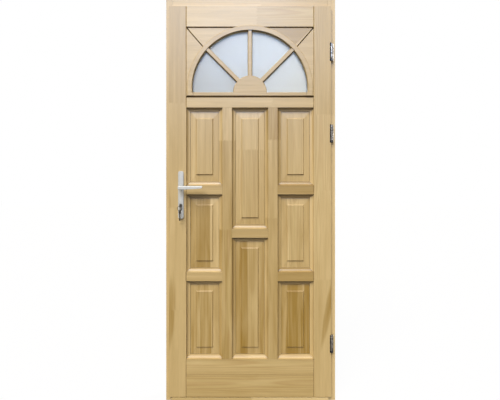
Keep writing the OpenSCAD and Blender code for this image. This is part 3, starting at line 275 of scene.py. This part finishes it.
# every wooden piece: grain direction, then staves as (edge in mm, tone) across and along the grain
pinePieces = {
    "stile_lock": {
        "grain": "Z", "paintedShade": uprightPaintedShade, "across": [(-422, 0.15)],
        "along": [(28, 0.46), (480, 0.52), (1010, 0.46), (1560, 0.33)],
        "flames": [
            {"across": -412, "along": 470, "halfWide": 26, "halfTall": 240, "tilt": 3, "depth": 0.46},
            {"across": -425, "along": 1000, "halfWide": 16, "halfTall": 160, "tilt": 0, "depth": 0.3}]},
    "stile_hinge": {
        "grain": "Z", "paintedShade": uprightPaintedShade, "across": [(332, 0.30)],
        "along": [(28, 0.31), (640, 0.45), (1100, 0.40), (1500, 0.32)],
        "flames": [
            {"across": 410, "along": 485, "halfWide": 24, "halfTall": 230, "tilt": 11, "depth": 0.50}]},
    "top_rail": {"grain": "X", "across": [(1950, 0.62)], "along": [(-340, 0.28), (40, 0.12)]},
    "mid_rail": {
        "grain": "X", "paintedShade": railPaintedShade, "across": [(1533, 0.57)], "along": [(-340, 0.17), (120, 0.13)]},
    "bottom_rail_upper": {"grain": "X", "across": [(147, 0.57)], "along": [(-340, 0.0)]},
    "bottom_rail_lower": {"grain": "X", "across": [(28, 0.46)], "along": [(-340, 0.0)]},
    "mullion_left": {
        "grain": "Z", "paintedShade": uprightPaintedShade, "figure": 1.9, "across": [(-145, 0.32)],
        "along": [(212, 0.0), (900, 0.10), (1365, 0.35)]},
    "mullion_right": {
        "grain": "Z", "paintedShade": uprightPaintedShade, "figure": 1.7, "across": [(95, 0.36)],
        "along": [(212, 0.04), (960, 0.16), (1369, 0.0)]},
    "cross_left_low": {"grain": "X", "paintedShade": railPaintedShade, "across": [(632, 0.51)], "along": [(-340, 0.02)]},
    "cross_left_high": {"grain": "X", "paintedShade": railPaintedShade, "across": [(1072, 0.51)], "along": [(-340, 0.06)]},
    "cross_centre": {"grain": "X", "paintedShade": railPaintedShade, "across": [(852, 0.44)], "along": [(-100, 0.02)]},
    "cross_right_low": {"grain": "X", "paintedShade": railPaintedShade, "across": [(632, 0.28)], "along": [(140, 0.0)]},
    "cross_right_high": {"grain": "X", "paintedShade": railPaintedShade, "across": [(1072, 0.22)], "along": [(140, 0.02)]},
    "panel_left_low": {
        "grain": "Z", "figure": 2.4, "across": [(-332, 0.46), (-262, 0.34), (-205, 0.48)], "along": [(212, 0.0)]},
    "panel_left_mid": {
        "grain": "Z", "figure": 1.6, "across": [(-332, 0.37), (-278, 0.21), (-208, 0.78)], "along": [(612, 0.0)]},
    "panel_left_top": {"grain": "Z", "across": [(-332, 0.62), (-232, 0.54)], "along": [(1112, 0.0)]},
    "panel_centre_low": {
        "grain": "Z", "figure": 2.0, "across": [(-94, 0.29), (-52, 0.13), (-13, 0.45), (40, 0.35)],
        "along": [(212, 0.0)]},
    "panel_centre_top": {
        "grain": "Z", "across": [(-94, 0.55), (-20, 0.49), (44, 0.57)], "along": [(872, 0.0), (1318, 0.20)]},
    "panel_right_low": {
        "grain": "Z", "figure": 2.4, "across": [(144, 0.19), (196, 0.07), (266, 0.17)], "along": [(212, 0.0)]},
    "panel_right_mid": {
        "grain": "Z", "figure": 1.6, "across": [(144, 0.42), (194, 0.78), (208, 0.54)], "along": [(612, 0.0)]},
    "panel_right_top": {"grain": "Z", "across": [(144, 0.57), (236, 0.63)], "along": [(1112, 0.0)]},
    # segments of the fanlight as (angle, tone) round the arch's middle, the inner part last
    "fan_grille_front": {
        "grain": "X", "across": [(1590, 0.30)], "turnZ": 1633.0, "turnR": 328.0,
        "turn": [(-180, 0.40), (44, 0.0), (89, 0.48), (136, 0.42), (185, 0.33)]},
    "fan_grille_back": {
        "grain": "X", "across": [(1590, 0.58)], "turnZ": 1633.0, "turnR": 328.0,
        "turn": [(-180, 0.16), (44, 0.22), (89, 0.10), (136, 0.18), (185, 0.12)]},
    "fan_core": {"grain": "X", "across": [(1590, 0.50)], "along": [(-340, 0.10)]},
    "jamb_lock_side": {
        "grain": "Z", "across": [(-440, 0.60)], "along": [(0, 0.12), (700, 0.18), (1400, 0.10)]},
    "jamb_hinge_side": {
        "grain": "Z", "across": [(392, 0.60)], "along": [(0, 0.30), (820, 0.34), (1500, 0.22)]},
    "frame_head": {"grain": "X", "across": [(2030, 0.60)], "along": [(-410, 0.22), (60, 0.18)]},
    # trodden smooth: little of the fine grain is left
    "threshold": {
        "grain": "X", "grainShown": 0.2, "paintedShade": (0.4, 6.0), "across": [(0, 0.54)],
        "along": [(-410, 0.0), (13, 0.30)]},
}
for seed, (name, cut) in enumerate(pinePieces.items(), 1):
    dress(name, makePine("pine sanded " + name.replace("_", " "), cut, seed))
print("pine on", len(pinePieces), "pieces")


# metals, plastic and rubber: the grain is (across, along) in mm
metalLooks = {
    # blasted before anodising: a soft, almost white sheen without sharp reflections
    "aluminium satin anodised": {
        "colour": "#A7A399", "metallic": 1.0, "roughness": 0.64, "grainMm": (0.5, 18.0)},
    # turned and barrel plated: a grey kept darker as painted shade for the dark surroundings it would mirror, with
    # strong bright and dark spots that are painted glints and shade
    "steel bright zinc plated": {
        "colour": "#7A746C", "metallic": 1.0, "roughness": 0.32, "grainMm": (1.2, 1.2),
        "wearAndGlints": (0.10, 1.75), "wearAndGlintMm": 9.0},
    # pressed from sheet and plated: duller, with faint rolling lines
    "steel rolled zinc plated": {
        "colour": "#B4B3B0", "metallic": 1.0, "roughness": 0.36, "grainMm": (0.6, 8.0)},
    # drawn as a bar and plated: warm grey, lines along its length
    "brass drawn nickel plated": {
        "colour": "#807B70", "metallic": 1.0, "roughness": 0.30, "grainMm": (0.4, 6.0)},
    # stamped and plated: painted dark, for the shade and dark surroundings the keys mirror, with a low sheen
    "steel stamped nickel plated": {
        "colour": "#413A33", "metallic": 1.0, "roughness": 0.35, "grainMm": (0.4, 5.0)},
    # extruded and left as it is: pale grey with long die lines
    "aluminium extruded": {
        "colour": "#BFC0C2", "metallic": 1.0, "roughness": 0.40, "grainMm": (0.5, 12.0)},
    # moulded in a finely etched tool: near black, evenly satin
    "plastic moulded black": {
        "colour": "#1C1512", "metallic": 0.0, "roughness": 0.45, "grainMm": (0.8, 0.8)},
    # extruded and cured: matt and dark, so the seal reads as a shadow line
    "rubber extruded": {
        "colour": "#2A2622", "metallic": 0.0, "roughness": 0.75, "grainMm": (0.6, 10.0)},
}
# what they share, unless a look says otherwise
metalWear = {
    "wearAndGlints": (0.92, 1.04),    # dulled by hands, and rubbed bright; on the hinges the spots are painted glints and shade
    "wearAndGlintMm": 14.0,
    "roughSpread": (-0.06, 0.08),
    "relief": 0.15,
    "reliefMm": 0.1,
}


def makeMetal(name):
    look = {**metalWear, **metalLooks[name]}
    material, tree = newMaterial(name)
    place = addNode(tree, "TexCoord").outputs["Object"]
    wide, long = look["grainMm"]
    stretch = addNode(tree, "Mapping", {0: place, "Scale": (mmPerM / wide, mmPerM / wide, mmPerM / long)})
    grain = addNode(tree, "TexNoise", {"Vector": stretch, "Scale": 1.0, "Detail": 2.0})
    # spots in the colour: wear, and on the hinges painted glints and shade
    cloud = addNode(tree, "TexNoise", {"Vector": place, "Scale": mmPerM / look["wearAndGlintMm"], "Detail": 2.0})
    dull, bright = look["wearAndGlints"]
    tint = addNode(tree, "MapRange", {
        "Value": cloud, "From Min": noiseLow, "From Max": noiseHigh, "To Min": dull, "To Max": bright})
    colour = addNode(tree, "VectorMath", {0: linear(look["colour"])[:3], "Scale": tint}, operation="SCALE")
    smoother, rougher = [look["roughness"] + change for change in look["roughSpread"]]
    rough = addNode(tree, "MapRange", {
        "Value": grain, "From Min": noiseLow, "From Max": noiseHigh, "To Min": smoother, "To Max": rougher})
    bump = addNode(tree, "Bump", {
        "Strength": look["relief"], "Distance": look["reliefMm"] / mmPerM, "Height": grain})
    shader = addNode(tree, "BsdfPrincipled", {
        "Base Color": colour, "Metallic": look["metallic"], "Roughness": rough, "Normal": bump})
    addNode(tree, "OutputMaterial", {0: shader})
    return material


metalPieces = {
    "aluminium satin anodised": ["plate_front", "plate_back", "lever_front", "lever_back"],
    "steel bright zinc plated": [
        "hinge_frame_low", "hinge_frame_mid", "hinge_frame_top",
        "hinge_leaf_low", "hinge_leaf_mid", "hinge_leaf_top"],
    "steel rolled zinc plated": [
        "strike_plate", "strike_screws", "hinge_pins", "lock_case", "lock_forend", "forend_screws",
        "plate_bolts", "spindle", "follower", "latch_bolt", "dead_bolt"],
    "brass drawn nickel plated": ["cylinder_body", "cylinder_plug"],
    "steel stamped nickel plated": ["key", "key_ring", "spare_key"],
    "aluminium extruded": ["glass_spacer"],
    "plastic moulded black": ["hinge_caps"],
    "rubber extruded": ["frame_seal"],
}
for name, pieces in metalPieces.items():
    material = makeMetal(name)
    for piece in pieces:
        dress(piece, material)
print("metal, plastic and rubber on", sum(len(pieces) for pieces in metalPieces.values()), "pieces")


# float glass, acid etched: it lets the light through, blurs what is behind and shows no sharp reflection
glassLook = {
    "shadedSide": "#D2D1CC",      # painted shade: darker towards the lock, for the darker view behind it
    "litSide": "#E7E6DF",      # towards the hinges, the lit end of the painted gradient
    "halfMm": 330.0,            # from the middle to where each colour is full
    "roughness": 0.36,
    "roughSpread": (-0.04, 0.04),
    "cloudMm": 160.0,           # uneven etching
    "ior": 1.5,
    "transmission": 0.97,
    "sheen": 0.01,
}


def makeGlass():
    material, tree = newMaterial("glass acid etched")
    place = addNode(tree, "TexCoord").outputs["Object"]
    cloud = addNode(tree, "TexNoise", {"Vector": place, "Scale": mmPerM / glassLook["cloudMm"], "Detail": 1.0})
    smoother, rougher = [glassLook["roughness"] + change for change in glassLook["roughSpread"]]
    rough = addNode(tree, "MapRange", {
        "Value": cloud, "From Min": noiseLow, "From Max": noiseHigh, "To Min": smoother, "To Max": rougher})
    half = glassLook["halfMm"] / mmPerM
    axes = addNode(tree, "SeparateXYZ", {0: place})
    # painted shade across the glass: its colour runs darker towards the lock
    share = addNode(tree, "MapRange", {"Value": axes.outputs["X"], "From Min": -half, "From Max": half})
    tint = addNode(tree, "Mix", {0: share, 6: linear(glassLook["shadedSide"]), 7: linear(glassLook["litSide"])},
                   data_type="RGBA")
    shader = addNode(tree, "BsdfPrincipled", {
        "Base Color": tint.outputs[2], "Roughness": rough, "IOR": glassLook["ior"],
        "Transmission Weight": glassLook["transmission"], "Specular IOR Level": glassLook["sheen"]})
    addNode(tree, "OutputMaterial", {0: shader})
    return material


glass = makeGlass()
for piece in ("glass_outer", "glass_inner"):
    dress(piece, glass)
print("glass on the fanlight")


# sanded wood has no sharp arrises: each is broken by a width in mm, between faces that meet at an angle
edgeBreak = {"widthMm": 0.8, "rounds": 2, "angleDegrees": 32, "joinMm": 0.02}

for name in pinePieces:
    weld = nodes[name].modifiers.new("joined edges", "WELD")
    weld.merge_threshold = edgeBreak["joinMm"] / mmPerM
    bevel = nodes[name].modifiers.new("broken arris", "BEVEL")
    bevel.width = edgeBreak["widthMm"] / mmPerM
    bevel.segments = edgeBreak["rounds"]
    bevel.limit_method = "ANGLE"
    bevel.angle_limit = math.radians(edgeBreak["angleDegrees"])
    bevel.use_clamp_overlap = True
    bevel.harden_normals = True
print("edges broken")


# floor and sky: lengths in metres, strengths where 1 is white
stageLook = {
    "floor": "#333231",         # what the floor gives back of the lamps, low so that little light comes from below
    "floorGlow": 0.95,
    "floorSize": 30,
    "floorDrop": 0.0005,        # just under the threshold
    "sky": "#F4F6FF",
    "skyAbove": 0.40,
    "skyBelow": 0.0,
    "skyFull": 0.6,             # height of the direction at which the sky is full
    "backdrop": "#FFFFFF",
}


# 1 for rays that show the background: seen directly, mirrored or through the glass
def backgroundRays(tree):
    rays = addNode(tree, "LightPath")
    mirrored = addNode(tree, "Math", {
        0: rays.outputs["Is Camera Ray"], 1: rays.outputs["Is Glossy Ray"]}, operation="MAXIMUM")
    return addNode(tree, "Math", {0: mirrored, 1: rays.outputs["Is Transmission Ray"]}, operation="MAXIMUM")


bpy.ops.mesh.primitive_plane_add(size=stageLook["floorSize"], location=(0, 0, -stageLook["floorDrop"]))
floor = bpy.context.object
floor.name = "floor"
# sheet of matt vinyl: reads as plain white and keeps a soft shadow
floorMaterial, tree = newMaterial("vinyl rolled matt")
strength = addNode(tree, "Math", {0: backgroundRays(tree), 1: stageLook["floorGlow"]}, operation="MULTIPLY")
glow = addNode(tree, "Emission", {"Strength": strength})
matt = addNode(tree, "BsdfDiffuse", {"Color": linear(stageLook["floor"])})
addNode(tree, "OutputMaterial", {0: addNode(tree, "AddShader", {0: glow, 1: matt})})
floor.data.materials.append(floorMaterial)

world = bpy.data.worlds.new("studio")
world.use_nodes = True
bpy.context.scene.world = world
tree = world.node_tree
tree.nodes.clear()
direction = addNode(tree, "SeparateXYZ", {0: addNode(tree, "TexCoord").outputs["Generated"]})
sky = addNode(tree, "MapRange", {
    "Value": direction.outputs["Z"], "From Min": 0.0, "From Max": stageLook["skyFull"],
    "To Min": stageLook["skyBelow"], "To Max": stageLook["skyAbove"]})
dome = addNode(tree, "Background", {"Color": linear(stageLook["sky"]), "Strength": sky})
white = addNode(tree, "Background", {"Color": linear(stageLook["backdrop"]), "Strength": 1.0})
addNode(tree, "OutputWorld", {0: addNode(tree, "MixShader", {0: backgroundRays(tree), 1: dome, 2: white})})

lamps = {
    "key": {
        "kind": "SUN", "power": 3.95, "from": (-0.22, -0.66, 0.72), "softDegrees": 40, "colour": "#FFFBF4"},
    "back fill": {
        "kind": "SUN", "power": 3.4, "from": (0.76, 0.57, 0.32), "softDegrees": 25, "colour": "#F3F6FF"},
    # shows only as a bluish sheen on the top of the door
    "window": {
        "kind": "AREA", "power": 104.0, "at": (-0.08, -2.70, 3.20), "to": (-0.1, -0.07, 1.95), "size": 1.65,
        "colour": "#A0C6FF"},
}
for name, lamp in lamps.items():
    data = bpy.data.lights.new(name, lamp["kind"])
    data.energy = lamp["power"]
    data.color = linear(lamp["colour"])[:3]
    light = bpy.data.objects.new(name, data)
    if lamp["kind"] == "SUN":
        data.angle = math.radians(lamp["softDegrees"])
        aim = -Vector(lamp["from"])
    else:
        data.size = lamp["size"]
        light.visible_diffuse = False
        light.location = lamp["at"]
        aim = Vector(lamp["to"]) - Vector(lamp["at"])
    light.rotation_mode = "QUATERNION"
    light.rotation_quaternion = aim.to_track_quat("-Z", "Y")
    bpy.context.scene.collection.objects.link(light)
bpy.context.scene.view_settings.view_transform = "Standard"
print("floor, sky and lamps set")

print("done")
